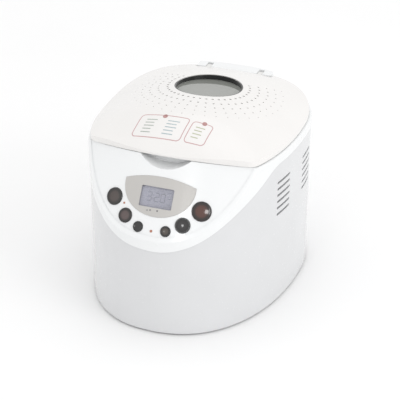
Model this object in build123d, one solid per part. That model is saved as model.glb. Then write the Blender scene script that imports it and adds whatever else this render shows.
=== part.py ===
from build123d import *
from math import atan2, cos, degrees, pi, radians, sin, sqrt, tan
import os

# Countertop bread machine, millimetres. +Z up, the control panel faces -Y, +X is the user's right.
# The origin is on the table under the middle of the body.

# Body envelope: an oval seen from above, a superellipse with a longer front half
HALF_WIDTH = 155.0
FRONT_REACH = 239.0
REAR_REACH = 144.2
WIDEST_Y = (FRONT_REACH - REAR_REACH) / 2
FRONT_POWER = 2.25
REAR_POWER = 2.33
WALL = 3.0
FAR = 230.0

# Casing heights
CASING_BOTTOM = 3.0
LOWER_STEP = 0.7
LOWER_DRAFT = 1.2
SHOULDER_Z = 234.0
SMILE_Z = 138.6
VENT_STARTS = (-51.6, 38.5)
VENT_LENGTH = 38.8
VENT_HEIGHT = 3.8
VENT_Z = 150.3
VENT_PITCH = 10.4
VENT_ROWS = 6
GLAND_Z = 44.0
GLAND_RADIUS = 9.0

# Control panel: a slope of 56.8 degrees, bowed forwards across its width
PANEL_ANGLE = radians(56.8)
PANEL_FOOT = (-189.4, 157.8)
PANEL_BOW = 275.0
PANEL_SINK = 1.0
RIM_WIDTH = 4.0
RIM_ROUND = 3.0

# Seam between deck and lid: an arch across the width
SEAM_Z = 255.9
SEAM_DROP = 9.5
SEAM_GAP = 1.2
DECK = 3.0
SCOOP_Z = 302.3
SCOOP_RADIUS = 61.7

# Lid
LID_HALF = 150.5
LID_REAR = 141.4
LID_FRONT_Y = -124.6
LID_FRONT_BOW = 350.0
LID_CORNER = 20.0
LID_EDGE = 2.5
LID_CROWN = 38.2
LID_CREST_Y = -33.0
LID_REAR_Y = WIDEST_Y + LID_REAR
LID_SHELL = 2.6
WINDOW_Y = 56.0
WINDOW_X_RADIUS = 51.0
WINDOW_Y_RADIUS = 54.0
PANE_SLOPE = degrees(atan2(0.133, 1.0))
PANE_Z = 280.2

# Hinge at the rear of the deck
HINGE_Y = 179.0
HINGE_Z = 259.0
PIN_RADIUS = 2.0
RUNNING_GAP = 0.05
ARM_X = 42.0
ARM_WIDTH = 8.0
ARM_FOOT = 258.0

# Oven chamber, bread pan and drive, all centred on one vertical axis
PAN_Y = 58.0
CHAMBER = (222.0, 174.0)
CHAMBER_CORNER = 27.0
CHAMBER_FLOOR = 62.0
CHAMBER_TOP = 242.0
SHEET = 0.8
PAN_TOP = (190.0, 142.0)
PAN_FLOOR = (176.0, 128.0)
PAN_BASE_Z = 88.0
PAN_RIM_Z = 216.0
PAN_SHEET = 1.5
BAIL_Z = 205.0
BAIL_X = 98.5

# Drive train under the chamber
CHASSIS_Z = 30.0
CHASSIS_SHEET = 1.6
MOTOR_Y = -105.0
PULLEY_Z = 14.0
BELT_WIDTH = 8.0
LARGE_PULLEY = 54.0
SMALL_PULLEY = 9.0
BELT_GAP = 0.1
SPINDLE = 5.0
HOUSING_SCREWS = [(x, PAN_Y + y) for x in (-30.0, 30.0) for y in (-30.0, 30.0)]
MOTOR_SCREWS = [(x, MOTOR_Y + y) for x in (-32.0, 32.0) for y in (-32.0, 32.0)]
MOTOR_FOOT = CHASSIS_Z + CHASSIS_SHEET
STACK_BOTTOM = MOTOR_FOOT + 16.0
STACK_HEIGHT = 26.0

# Buttons in the order left to right: name, place across, place up the slope, radius
BUTTONS = [
    ("menu_button", -66.0, 46.2, 12.5),
    ("weight_button", -43.5, 24.5, 10.5),
    ("timer_down_button", -20.8, 13.3, 7.5),
    ("timer_up_button", 20.8, 13.3, 7.5),
    ("crust_button", 43.5, 24.5, 11.0),
    ("start_button", 66.0, 46.2, 14.0),
]
BUTTON_GAP = 0.35
BUTTON_PROUD = 1.6
LIGHTS = [(-48.8, 41.1, 1.5), (0.0, 10.6, 2.0)]

# Control board behind the panel
BOARD_DEPTH = 26.0
BOARD_POSTS = [(-40.0, 78.0), (-28.5, 35.0), (28.5, 35.0), (40.0, 78.0)]

# Screen in the display bezel
SCREEN_X = -1.5
SCREEN_V = 58.5
SCREEN = (49.0, 29.5)

os.makedirs("parts", exist_ok=True)


def save(name, *solids):
    """Write one node; identical pieces share a node as separate solids."""
    shape = solids[0] if len(solids) == 1 else Compound(children=list(solids))
    export_step(shape, f"parts/{name}.step")


# ---------------------------------------------------------------- outlines


def signed_power(value, power):
    return abs(value) ** power * (1 if value >= 0 else -1)


def oval_point(angle, half, front, rear):
    """A point of the body's oval; angle 0 is the widest place on the right."""
    power = FRONT_POWER if angle < 0 else REAR_POWER
    reach = front if angle < 0 else rear
    x = half * abs(cos(angle)) ** (2 / power)
    return (x, WIDEST_Y + reach * signed_power(sin(angle), 2 / power))


def oval(inset=0.0, half=HALF_WIDTH, front=FRONT_REACH, rear=REAR_REACH):
    """The body's outline as a face, drawn inwards by inset."""
    steps = 16
    sizes = (half - inset, front - inset, rear - inset)
    right = [oval_point(pi * (i / steps - 0.5), *sizes) for i in range(steps + 1)]
    left = [(-x, y) for x, y in right[-2:0:-1]]
    return make_face(Spline(*right, *left, periodic=True))


def oval_prism(inset, bottom, top):
    return extrude(Pos(0, 0, bottom) * oval(inset), top - bottom)


def rounded_block(size, corner, bottom, top, centre=(0.0, PAN_Y)):
    outline = RectangleRounded(size[0], size[1], corner)
    return extrude(Pos(centre[0], centre[1], bottom) * outline, top - bottom)


def post(x, y, radius, bottom, top):
    return Pos(x, y, bottom) * extrude(Circle(radius), top - bottom)


def ring(x, y, outer, inner, bottom, top):
    return post(x, y, outer, bottom, top) - post(x, y, inner, bottom - 1, top + 1)


def block(low, high):
    """An axis-aligned box from its lowest to its highest corner."""
    size = [high[i] - low[i] for i in range(3)]
    middle = [(high[i] + low[i]) / 2 for i in range(3)]
    return Pos(*middle) * Box(*size)


# ---------------------------------------------------------------- dividing surfaces


def smile_height(run):
    """Height of the seam between the two casings, run behind the foremost point."""
    return SMILE_Z + 0.98 * run - 0.0021 * run * run


def below_smile():
    """Everything under the seam that rises from the front and levels out at the shoulder."""
    front = WIDEST_Y - FRONT_REACH
    rise = [(front + run, smile_height(run)) for run in (-25, 20, 65, 110)]
    level = (front + 150, SHOULDER_Z)
    curve = Spline(*rise, level, tangents=[(1, 1.085), (1, 0)])
    border = Polyline(level, (FAR, SHOULDER_Z), (FAR, -10), (rise[0][0], -10), rise[0])
    face = Plane.YZ * make_face([curve, border])
    return extrude(face, FAR, both=True)


def in_front_of_panel(offset):
    """Everything in front of the bowed panel surface, which is moved outwards by offset."""
    low = 90.0
    foot_y, foot_z = PANEL_FOOT
    middle = foot_y + (low - foot_z) / tan(PANEL_ANGLE) - offset / sin(PANEL_ANGLE)
    half = 0.8 * PANEL_BOW
    back = middle + PANEL_BOW - sqrt(PANEL_BOW**2 - half**2)
    arc = ThreePointArc((-half, back), (0, middle), (half, back))
    border = Polyline((half, back), (half, -700), (-half, -700), (-half, back))
    face = Pos(0, 0, low) * make_face([arc, border])
    return extrude(face, 260, dir=(0, cos(PANEL_ANGLE), sin(PANEL_ANGLE)))


def below_arch(top):
    """Everything under the arch across the width whose crown is at top."""
    drop = SEAM_DROP * (170 / LID_HALF) ** 2
    arc = ThreePointArc((-170, top - drop), (0, top), (170, top - drop))
    border = Polyline((170, top - drop), (170, 0), (-170, 0), (-170, top - drop))
    face = Plane.XZ * make_face([arc, border])
    return extrude(face, FAR, both=True)


def dome_height(x, y):
    """Top of the lid: an arched edge plus a crown that fades out towards the rim."""
    span = LID_CREST_Y - LID_FRONT_Y if y < LID_CREST_Y else LID_REAR_Y - LID_CREST_Y
    along = 1 - ((y - LID_CREST_Y) / span) ** 2
    across = 1 - (x / LID_HALF) ** 2
    edge = SEAM_Z - SEAM_DROP * (x / LID_HALF) ** 2 + LID_EDGE
    return edge + LID_CROWN * along * across


def above_dome(depth):
    """Everything above the lid's top surface lowered by depth."""
    columns = range(-160, 161, 20)
    rows = range(-145, 206, 14)
    grid = [[Vector(x, y, dome_height(x, y) - depth) for x in columns] for y in rows]
    surface = Face.make_surface_from_array_of_points(grid)
    return Solid.extrude(surface, Vector(0, 0, 110))


def panel_frame(x, v, depth=0.0):
    """A plane on the panel at x across and v up the slope, z along the local outward normal."""
    back = x * x / (2 * PANEL_BOW)
    y = PANEL_FOOT[0] + v * cos(PANEL_ANGLE) + back
    z = PANEL_FOOT[1] + v * sin(PANEL_ANGLE)
    normal = Vector(x / PANEL_BOW, -1, 1 / tan(PANEL_ANGLE)).normalized()
    origin = Vector(x, y, z) - normal * (depth + PANEL_SINK)
    return Plane(origin=origin, x_dir=(1, x / PANEL_BOW, 0), z_dir=normal)


def slope_frame(depth=0.0):
    """The panel's middle plane: x across, y up the slope, z outwards."""
    normal = Vector(0, -sin(PANEL_ANGLE), cos(PANEL_ANGLE))
    origin = Vector(0, *PANEL_FOOT) - normal * (depth + PANEL_SINK)
    return Plane(origin=origin, x_dir=(1, 0, 0), z_dir=normal)


# ---------------------------------------------------------------- casings

CASING_POSTS = [(x * side, y) for x, y in ((145.5, 47.4), (91.3, -142.0), (69.0, 171.5)) for side in (-1, 1)]


def vent_slots():
    """Two groups of six level slots in each flank."""
    slots = []
    for start in VENT_STARTS:
        for row in range(VENT_ROWS):
            outline = Pos(start + VENT_LENGTH / 2, VENT_Z + VENT_PITCH * row) * SlotOverall(VENT_LENGTH, VENT_HEIGHT)
            for side in (-1, 1):
                slots.append(extrude(Plane.YZ.offset(100 * side) * outline, 60 * side))
    return slots


def make_lower_casing(smile):
    inset = LOWER_STEP + LOWER_DRAFT
    outer = loft([Pos(0, 0, CASING_BOTTOM) * oval(inset), Pos(0, 0, 240) * oval(LOWER_STEP)])
    inner = loft([Pos(0, 0, 0) * oval(inset + WALL), Pos(0, 0, 241) * oval(LOWER_STEP + WALL)])
    casing = outer - inner
    for slot in vent_slots():
        casing -= slot
    casing &= smile
    casing += [post(x, y, 6.0, 6.2, 26.0) & outer for x, y in CASING_POSTS]
    casing -= [post(x, y, 1.5, 5.0, 20.0) for x, y in CASING_POSTS]
    casing -= Pos(-70, 180, GLAND_Z) * Rot(90, 0, 0) * Cylinder(GLAND_RADIUS, 40)
    return casing


def hinge_block():
    """Raised block behind the lid that carries the two hinge pins."""
    body = block((-60, 170, 240), (60, 200, HINGE_Z + 5)) & oval_prism(0, 235, 280)
    body = fillet(body.edges().filter_by(Axis.X).group_by(Axis.Z)[-1], 2.0)
    for side in (-1, 1):
        x = side * ARM_X
        half = ARM_WIDTH / 2 + 0.5
        body -= block((x - half, 160, 250.5), (x + half, HINGE_Y + 6, 280))
        body -= Pos(x, HINGE_Y, HINGE_Z) * Rot(0, 90, 0) * Cylinder(PIN_RADIUS, 22)
    return body


def scoop(radius, rear):
    """The round trough under the lid's front edge for the fingertips, as far back as rear."""
    reach = rear + 162.0
    return Pos(0, rear - reach / 2, SCOOP_Z) * Rot(90, 0, 0) * Cylinder(radius, reach)


def soften_rim(body):
    """Round the outer edges of the sloping rim and of the deck."""
    edges = body.edges().filter_by(GeomType.BSPLINE)
    return fillet([e for e in edges if e.center().Z > 150 and e.length > 60], RIM_ROUND)


def make_upper_casing(smile):
    deck_top = SEAM_Z - SEAM_GAP
    body = oval_prism(0, 120, 280) - in_front_of_panel(0)
    body &= below_arch(deck_top)
    body = soften_rim(body) - smile
    body -= oval_prism(RIM_WIDTH, 120, 280) & in_front_of_panel(-PANEL_SINK)
    hollow = oval_prism(WALL, 100, 280) - in_front_of_panel(-PANEL_SINK - 2.6)
    hollow &= below_arch(deck_top - DECK)
    lip = rounded_block((232, 184), CHAMBER_CORNER + 5, CHAMBER_TOP + SHEET, 270)
    scoop_wall = scoop(SCOOP_RADIUS + DECK, -107) & block((-60, -160, 230), (60, -107, 270))
    body -= hollow - lip - scoop_wall
    body += hinge_block()
    body += [extrude(slope_frame(BOARD_DEPTH) * Pos(x, v) * Circle(2.4), 22) for x, v in BOARD_POSTS]
    body -= rounded_block((CHAMBER[0] + 4, CHAMBER[1] + 4), CHAMBER_CORNER + 2, 230, 300)
    body -= scoop(SCOOP_RADIUS, -110)
    body -= bezel_prism(0.2) & in_front_of_panel(-PANEL_SINK - 1.1)
    body -= extrude(slope_frame(-5) * Pos(SCREEN_X, SCREEN_V) * Rectangle(53, 33), -30)
    for _, x, v, radius in BUTTONS:
        body -= extrude(panel_frame(x, v, 12) * Circle(radius + BUTTON_GAP), 20)
    for x, v, radius in LIGHTS:
        body -= extrude(panel_frame(x, v, 12) * Circle(radius), 20)
    return body


def make_base_plate():
    plate = oval_prism(LOWER_STEP + LOWER_DRAFT + WALL + 0.5, 4.5, 6.0)
    plate -= [post(x, y, 1.8, 0, 10) for x, y in CASING_POSTS]
    for column in range(-2, 3):
        plate -= Pos(column * 16, -60, 5) * extrude(SlotOverall(36, 3.6, rotation=90), 6, both=True)
    return plate


FEET = [(-100.0, -95.0), (100.0, -95.0), (-92.0, 138.0), (92.0, 138.0)]


def make_foot(x, y):
    foot = Pos(x, y, 0) * Cone(12.0, 10.5, 4.5, align=(Align.CENTER, Align.CENTER, Align.MIN))
    return fillet(foot.edges().group_by(Axis.Z)[0], 0.8)


def make_screw(x, y, head_z, length, head=3.4, shank=1.4):
    """A pan-head screw that points up, its head below head_z."""
    screw = post(x, y, head, head_z - 1.4, head_z) + post(x, y, shank, head_z, head_z + length)
    return screw - block((x - 2.2, y - 0.35, head_z - 2), (x + 2.2, y + 0.35, head_z - 0.7))


# ---------------------------------------------------------------- control panel


def bezel_outline():
    """The display plate: an arched top and a round belly, x across and v up the slope."""
    top = ThreePointArc((-53, 80.5), (0, 88.5), (53, 80.5))
    left = ThreePointArc((-53, 80.5), (-45.5, 52), (-30, 38.5))
    belly = ThreePointArc((-30, 38.5), (0, 31), (30, 38.5))
    right = ThreePointArc((30, 38.5), (45.5, 52), (53, 80.5))
    return make_face([top, left, belly, right])


def bezel_prism(grow):
    outline = offset(bezel_outline(), grow) if grow else bezel_outline()
    return extrude(slope_frame(-20) * outline, -60)


def make_display_bezel():
    plate = bezel_prism(0) & in_front_of_panel(-PANEL_SINK - 1.0)
    plate -= in_front_of_panel(-PANEL_SINK + 0.6)
    plate -= extrude(slope_frame(-20) * Pos(SCREEN_X, SCREEN_V) * RectangleRounded(*SCREEN, 2.0), -60)
    return plate


def make_display_lens():
    """The clear screen cover, set below the bezel."""
    return extrude(slope_frame(2.4) * Pos(SCREEN_X, SCREEN_V) * Rectangle(52, 32), -1.2)


def make_lcd_module():
    body = extrude(slope_frame(4.3) * Pos(SCREEN_X, SCREEN_V) * Rectangle(56, 37), -5.0)
    pins = [
        extrude(slope_frame(9.3) * Pos(SCREEN_X + step * 5.0, SCREEN_V + 16) * Circle(0.5), 9.3 - BOARD_DEPTH)
        for step in range(-4, 5)
    ]
    return body + pins


def make_control_board():
    board = extrude(slope_frame(BOARD_DEPTH) * Pos(0, 44) * Rectangle(150, 76), -1.6)
    chips = [
        extrude(slope_frame(BOARD_DEPTH + 1.6) * Pos(x, 50) * Rectangle(*size), -2.4)
        for x, size in ((-30, (14, 14)), (12, (10, 18)), (44, (16, 8)))
    ]
    return board + chips


def make_button(x, v, radius):
    """A domed cap with a retaining flange behind the panel and a stem to its switch."""
    cap = extrude(panel_frame(x, v, 4.3) * Circle(radius), 4.3 + BUTTON_PROUD)
    cap = fillet(cap.faces().sort_by(Axis.Z)[-1].edges(), 1.2)
    flange = extrude(panel_frame(x, v, 4.3) * Circle(radius + 1.2), 1.2)
    stem = extrude(panel_frame(x, v, 12.8) * Circle(2.2), 8.6)
    return cap + flange + stem


def make_switch(x, v):
    """A tact switch whose leads reach through the control board."""
    body = extrude(panel_frame(x, v, 19.0) * Rectangle(6, 6), 3.0)
    plunger = extrude(panel_frame(x, v, 16.0) * Circle(1.6), 1.4)
    leads = [
        extrude(panel_frame(x, v, 19.0) * Pos(i * 2.2, j * 2.2) * Circle(0.4), -9.0)
        for i in (-1, 1)
        for j in (-1, 1)
    ]
    return body + plunger + leads


def make_indicator(x, v, radius):
    """A small lamp with its lens in the panel and two leads into the board."""
    lens = extrude(panel_frame(x, v, 7.0) * Circle(radius - 0.05), 7.4)
    collar = extrude(panel_frame(x, v, 8.0) * Circle(radius + 0.6), 2.0)
    leads = [extrude(panel_frame(x, v, 8.0) * Pos(i, 0) * Circle(0.3), -19.0) for i in (-0.9, 0.9)]
    return lens + collar + leads


def make_ribbon_cable():
    """Flat cable from the control board down to the power board."""
    path = FilletPolyline((-152.5, 160.5), (-126.0, 143.0), (-126.0, 38.8), radius=8.0)
    strip = Plane.YZ.offset(-57) * trace(path, 0.8)
    return extrude(strip, 10)


# ---------------------------------------------------------------- oven chamber


def chamber_shell(size, corner, bottom, top, thickness):
    outer = rounded_block((size[0] + 2 * thickness, size[1] + 2 * thickness), corner + thickness, bottom, top)
    return outer - rounded_block(size, corner, bottom + thickness, top + 1)


def make_oven_chamber():
    tub = chamber_shell(CHAMBER, CHAMBER_CORNER, CHAMBER_FLOOR, CHAMBER_TOP, SHEET)
    flange = rounded_block((CHAMBER[0] + 16, CHAMBER[1] + 16), CHAMBER_CORNER + 8, CHAMBER_TOP, CHAMBER_TOP + SHEET)
    tub += flange - rounded_block(CHAMBER, CHAMBER_CORNER, 200, 300)
    tub -= post(0, PAN_Y, 16.0, 50, 70)
    for x in (-22, 22):
        tub -= Pos(x, PAN_Y - CHAMBER[1] / 2, ELEMENT_Z) * Rot(90, 0, 0) * Cylinder(ELEMENT_RADIUS + 0.8, 10)
    tub -= Pos(60, PAN_Y - CHAMBER[1] / 2, 130) * Rot(90, 0, 0) * Cylinder(2.6, 10)
    return tub


ELEMENT_Z = 84.0
ELEMENT_RADIUS = 3.4
ELEMENT_LOOP = (206.0, 158.0)


def element_path():
    """A loop round the chamber's foot with both ends out through the front wall."""
    half_x, half_y = ELEMENT_LOOP[0] / 2, ELEMENT_LOOP[1] / 2
    front = PAN_Y - half_y
    rear = PAN_Y + half_y
    corners = [(-22, -56), (-22, front), (-half_x, front), (-half_x, rear)]
    corners += [(-x, y) for x, y in reversed(corners)]
    return FilletPolyline(*corners, radius=7.5)


def make_heating_element():
    path = Pos(0, 0, ELEMENT_Z) * element_path()
    section = Plane(origin=path @ 0, z_dir=path % 0) * Circle(ELEMENT_RADIUS)
    return sweep(section, path)


def make_element_bracket(x, y):
    """A clip that stands on the chamber floor and holds the element."""
    leg = block((x - 4, y - 1, CHAMBER_FLOOR + SHEET), (x + 4, y + 1, ELEMENT_Z - ELEMENT_RADIUS - 0.4))
    saddle = Pos(x, y, ELEMENT_Z) * Rot(0, 90, 0) * (
        Cylinder(ELEMENT_RADIUS + 1.2, 8) - Cylinder(ELEMENT_RADIUS + 0.1, 9)
    )
    return leg + saddle


def make_temperature_probe():
    front = PAN_Y - CHAMBER[1] / 2
    rod = Pos(60, front - 6, 130) * Rot(90, 0, 0) * Cylinder(2.4, 28)
    collar = Pos(60, front - SHEET - 1.5, 130) * Rot(90, 0, 0) * Cylinder(6.0, 3.0)
    return rod + collar


def make_thermal_fuse():
    y = PAN_Y - CHAMBER[1] / 2 - SHEET
    strap = block((-78, y - 1.0, 146), (-42, y, 154))
    body = Pos(-60, y - 3.2, 150) * Rot(0, 90, 0) * Cylinder(2.6, 24)
    return strap + body


def make_heat_shield():
    """Sheet between the hot chamber and the control compartment."""
    sheet = block((-104, -50.8, CHASSIS_Z + CHASSIS_SHEET), (104, -50.0, 228))
    return sheet - block((-32, -52, ELEMENT_Z - 8), (32, -49, ELEMENT_Z + 8))


def make_pan_socket():
    """Ring on the chamber floor in which the pan's foot seats."""
    cup = ring(0, PAN_Y, 52.0, 49.0, CHAMBER_FLOOR + SHEET, 76.0)
    flange = ring(0, PAN_Y, 60.0, 49.0, CHAMBER_FLOOR + SHEET, CHAMBER_FLOOR + SHEET + 1.5)
    return cup + flange


# ---------------------------------------------------------------- drive train


def make_chassis():
    """Folded steel frame that carries the motor, the spindle and the chamber."""
    top = CHASSIS_Z + CHASSIS_SHEET
    plate = block((-110, -150, CHASSIS_Z), (110, 140, top)) & oval_prism(8.0, 0, 60)
    for side in (-1, 1):
        inner, outer = sorted((side * 110, side * (110 - CHASSIS_SHEET)))
        plate += block((inner, -110, 6.0), (outer, 130, CHASSIS_Z))
        inner, outer = sorted((side * 110, side * 98))
        plate += block((inner, -110, 6.0), (outer, 130, 6.0 + CHASSIS_SHEET))
    plate -= post(0, PAN_Y, 16.0, 20, 40)
    plate -= post(0, MOTOR_Y, 14.0, 20, 40)
    for x, y in HOUSING_SCREWS + MOTOR_SCREWS:
        plate -= post(x, y, 1.8, 20, 40)
    for x in (-90, 90):
        plate += block((x - 8, -30, top), (x + 8, -28.4, CHAMBER_FLOOR))
        plate += block((x - 8, 120, top), (x + 8, 121.6, CHAMBER_FLOOR))
    return plate


def make_spindle_housing():
    top = CHASSIS_Z + CHASSIS_SHEET
    body = post(0, PAN_Y, 46.0, top, top + 4) + post(0, PAN_Y, 15.0, 26.0, 64.0)
    for angle in range(0, 360, 60):
        rib = block((14, -1.5, top + 4), (40, 1.5, 50)) - Pos(41, 0, 54) * Rot(90, 0, 0) * Cylinder(19, 8)
        body += Pos(0, PAN_Y, 0) * Rot(0, 0, angle + 30) * rib
    body -= post(0, PAN_Y, 8.0, 20, 70)
    body -= [post(x, y, 1.5, 20, 40) for x, y in HOUSING_SCREWS]
    return body


def make_spindle_bush(bottom):
    return ring(0, PAN_Y, 8.0, SPINDLE + RUNNING_GAP, bottom, bottom + 12)


def make_drive_spindle():
    shaft = post(0, PAN_Y, SPINDLE, 11.0, 73.0)
    shaft += post(0, PAN_Y, 7.4, 64.4, 66.0)
    return chamfer(shaft.edges().group_by(Axis.Z)[-1], 0.8)


def wings(inner, outer, half_thickness, bottom, top, along_x):
    """Two drive lugs on opposite sides of the pan axis."""
    lugs = []
    for side in (-1, 1):
        near, far = sorted((side * inner, side * outer))
        low = (near, -half_thickness, bottom) if along_x else (-half_thickness, near, bottom)
        high = (far, half_thickness, top) if along_x else (half_thickness, far, top)
        lugs.append(Pos(0, PAN_Y, 0) * block(low, high))
    return lugs


def make_drive_dog():
    hub = ring(0, PAN_Y, 12.0, SPINDLE, 66.5, 73.0)
    return hub + wings(11.0, 20.0, 2.5, 66.5, 76.5, True)


def make_large_pulley():
    top = PULLEY_Z + BELT_WIDTH
    rim = ring(0, PAN_Y, LARGE_PULLEY, LARGE_PULLEY - 6, PULLEY_Z - 1.5, top + 1.5)
    flanges = ring(0, PAN_Y, LARGE_PULLEY + 2.5, LARGE_PULLEY - 6, PULLEY_Z - 1.5, PULLEY_Z - 0.5)
    flanges += ring(0, PAN_Y, LARGE_PULLEY + 2.5, LARGE_PULLEY - 6, top + 0.5, top + 1.5)
    web = ring(0, PAN_Y, LARGE_PULLEY - 5, 10.0, PULLEY_Z + 2, PULLEY_Z + 5)
    for angle in range(0, 360, 60):
        x = 29 * cos(radians(angle))
        y = PAN_Y + 29 * sin(radians(angle))
        web -= post(x, y, 9.0, 0, 40)
    hub = ring(0, PAN_Y, 11.0, SPINDLE, PULLEY_Z - 1.5, top + 1.5)
    return rim + flanges + web + hub


def make_small_pulley():
    top = PULLEY_Z + BELT_WIDTH
    body = ring(0, MOTOR_Y, SMALL_PULLEY, 3.0, PULLEY_Z - 1.5, top + 1.5)
    body += ring(0, MOTOR_Y, SMALL_PULLEY + 2.5, 3.0, PULLEY_Z - 1.5, PULLEY_Z - 0.5)
    return body + ring(0, MOTOR_Y, SMALL_PULLEY + 2.5, 3.0, top + 0.5, top + 1.5)


def belt_loop(extra):
    """The area inside an open belt that is extra away from both pulleys."""
    large, small = LARGE_PULLEY + extra, SMALL_PULLEY + extra
    span = PAN_Y - MOTOR_Y
    lean = (large - small) / span
    rise = sqrt(1 - lean * lean)
    corners = []
    for centre, radius in ((PAN_Y, large), (MOTOR_Y, small)):
        corners.append((radius * rise, centre + radius * lean))
    right_far, right_near = corners
    quad = make_face(
        Polyline(right_far, right_near, (-right_near[0], right_near[1]), (-right_far[0], right_far[1]), close=True)
    )
    return quad + Pos(0, PAN_Y) * Circle(large) + Pos(0, MOTOR_Y) * Circle(small)


def make_drive_belt():
    loop = belt_loop(BELT_GAP + 1.8) - belt_loop(BELT_GAP)
    return Pos(0, 0, PULLEY_Z) * extrude(loop, BELT_WIDTH)


def make_motor_stator():
    """Square laminated stack with four coils that stand out at both ends."""
    top = STACK_BOTTOM + STACK_HEIGHT
    stack = rounded_block((78, 78), 12, STACK_BOTTOM, top, (0, MOTOR_Y)) - post(0, MOTOR_Y, 21.0, 0, 120)
    for angle in range(0, 360, 90):
        coil = rounded_block((10, 30), 4, STACK_BOTTOM - 7, top + 7, (0, 0))
        stack += Pos(0, MOTOR_Y, 0) * Rot(0, 0, angle) * Pos(28, 0, 0) * coil
    return stack


def make_motor_frame(bottom, plate_bottom, top):
    """A die-cast end frame with four legs and a bush for the rotor shaft."""
    frame = rounded_block((76, 76), 12, plate_bottom, plate_bottom + 4, (0, MOTOR_Y))
    for angle in range(0, 360, 90):
        x = 24 * cos(radians(angle))
        y = MOTOR_Y + 24 * sin(radians(angle))
        frame -= post(x, y, 7.0, bottom - 1, top + 1)
    frame += post(0, MOTOR_Y, 8.0, plate_bottom, plate_bottom + 8)
    frame += [post(x, y, 4.0, bottom, top) for x, y in MOTOR_SCREWS]
    frame -= [post(x, y, 1.5, bottom - 1, bottom + 6) for x, y in MOTOR_SCREWS]
    return frame - post(0, MOTOR_Y, 4.0 + RUNNING_GAP, 0, 200)


def make_motor_rotor():
    shaft = post(0, MOTOR_Y, 4.0, 24.2, 112.0) + post(0, MOTOR_Y, 3.0, 11.0, 24.2)
    return shaft + post(0, MOTOR_Y, 20.4, STACK_BOTTOM + 2, STACK_BOTTOM + STACK_HEIGHT - 2)


def make_cooling_fan():
    hub = ring(0, MOTOR_Y, 8.0, 4.0, 98.0, 108.0)
    for angle in range(0, 360, 45):
        blade = Pos(20, 0, 103) * Rot(28, 0, 0) * Box(26, 1.4, 11)
        hub += Pos(0, MOTOR_Y, 0) * Rot(0, 0, angle) * blade
    return hub


def make_motor_capacitor():
    can = Pos(64, -104, CHASSIS_Z + CHASSIS_SHEET) * Cylinder(15, 46, align=(Align.CENTER, Align.CENTER, Align.MIN))
    return fillet(can.edges().group_by(Axis.Z)[-1], 2.0)


def make_power_board():
    floor = CHASSIS_Z + CHASSIS_SHEET
    board = block((-104, -130, floor + 5), (-46, -60, floor + 6.6))
    for x in (-100, -50):
        for y in (-126, -64):
            board += post(x, y, 2.2, floor, floor + 5)
    board += block((-84, -78, floor + 6.6), (-66, -66, floor + 22))
    return board


def make_transformer():
    floor = CHASSIS_Z + CHASSIS_SHEET + 6.6
    core = block((-94, -124, floor), (-58, -88, floor + 30)) - block((-88, -130, floor + 6), (-80, -80, floor + 24))
    core -= block((-72, -130, floor + 6), (-64, -80, floor + 24))
    coil = rounded_block((24, 42), 3, floor + 6.5, floor + 23.5, (-76, -106)) - block((-80, -124, 0), (-72, -88, 100))
    return core + coil


def make_cord_gland():
    """Bush in the rear wall where the mains lead enters, with a blind bore."""
    along_y = Rot(90, 0, 0)
    gland = Pos(-70, 176, GLAND_Z) * along_y * Cylinder(GLAND_RADIUS - 0.1, 17)
    gland += Pos(-70, 168.9, GLAND_Z) * along_y * Cylinder(GLAND_RADIUS + 3, 3.4)
    return gland - Pos(-70, 179, GLAND_Z) * along_y * Cylinder(3.6, 14)


# ---------------------------------------------------------------- lid


def lid_outline(inset=0.0):
    """The body's oval, cut off at the front by a shallow curve with rounded corners."""
    shape = oval(inset, LID_HALF, FRONT_REACH, LID_REAR)
    half = 200.0
    front = LID_FRONT_Y + inset
    sag = LID_FRONT_BOW - sqrt(LID_FRONT_BOW**2 - half**2)
    arc = ThreePointArc((-half, front + sag), (0, front), (half, front + sag))
    border = Polyline((half, front + sag), (half, -400), (-half, -400), (-half, front + sag))
    shape -= make_face([arc, border])
    corners = shape.vertices().filter_by(lambda p: abs(p.X) > 80)
    return fillet(corners, LID_CORNER - inset)


def window_prism(grow, bottom, top):
    outline = Ellipse(WINDOW_X_RADIUS + grow, WINDOW_Y_RADIUS + grow)
    return extrude(Pos(0, WINDOW_Y, bottom) * outline, top - bottom)


def steam_holes():
    """Rings of small holes that fan out round the front and sides of the window."""
    holes = []
    for index, gap in enumerate((10.0, 24.0, 37.0, 49.0, 60.0)):
        radius = 1.9 - 0.27 * index
        for step in range(-14, 15):
            angle = radians(-90 + step * 8.6)
            x = (WINDOW_X_RADIUS + gap) * cos(angle)
            y = WINDOW_Y + (WINDOW_Y_RADIUS + gap) * sin(angle)
            holes.append(post(x, y, radius, 240, 310))
    return holes


LID_SCREWS = [(x, y) for x in (-109.0, 109.0) for y in (8.0, 54.0, 100.0)]


def make_lid_cover():
    body = extrude(Pos(0, 0, 235) * lid_outline(), 80) - below_arch(SEAM_Z) - above_dome(0)
    hollow = extrude(Pos(0, 0, 235) * lid_outline(LID_SHELL), 80) - above_dome(LID_SHELL)
    bosses = [post(x, y, 4.0, 258.2, 300) for x, y in LID_SCREWS]
    bosses += [post(x, 152.0, 3.6, HINGE_Z + 3.8, 300) for x in (-ARM_X, ARM_X)]
    gap = block((-62, 166, 240), (62, 220, 300))
    wall = block((-64.6, 163.4, 240), (64.6, 220, 300)) - gap
    body -= hollow - bosses - wall
    body -= gap
    body -= window_prism(0, 240, 320)
    body -= [post(x, y, 1.3, 250, 262.6) for x, y in LID_SCREWS]
    for side in (-1, 1):
        x = side * ARM_X
        half = ARM_WIDTH / 2 + 0.3
        body -= block((x - half, 160, 240), (x + half, 170, 263.6))
    return body - steam_holes()


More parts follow.
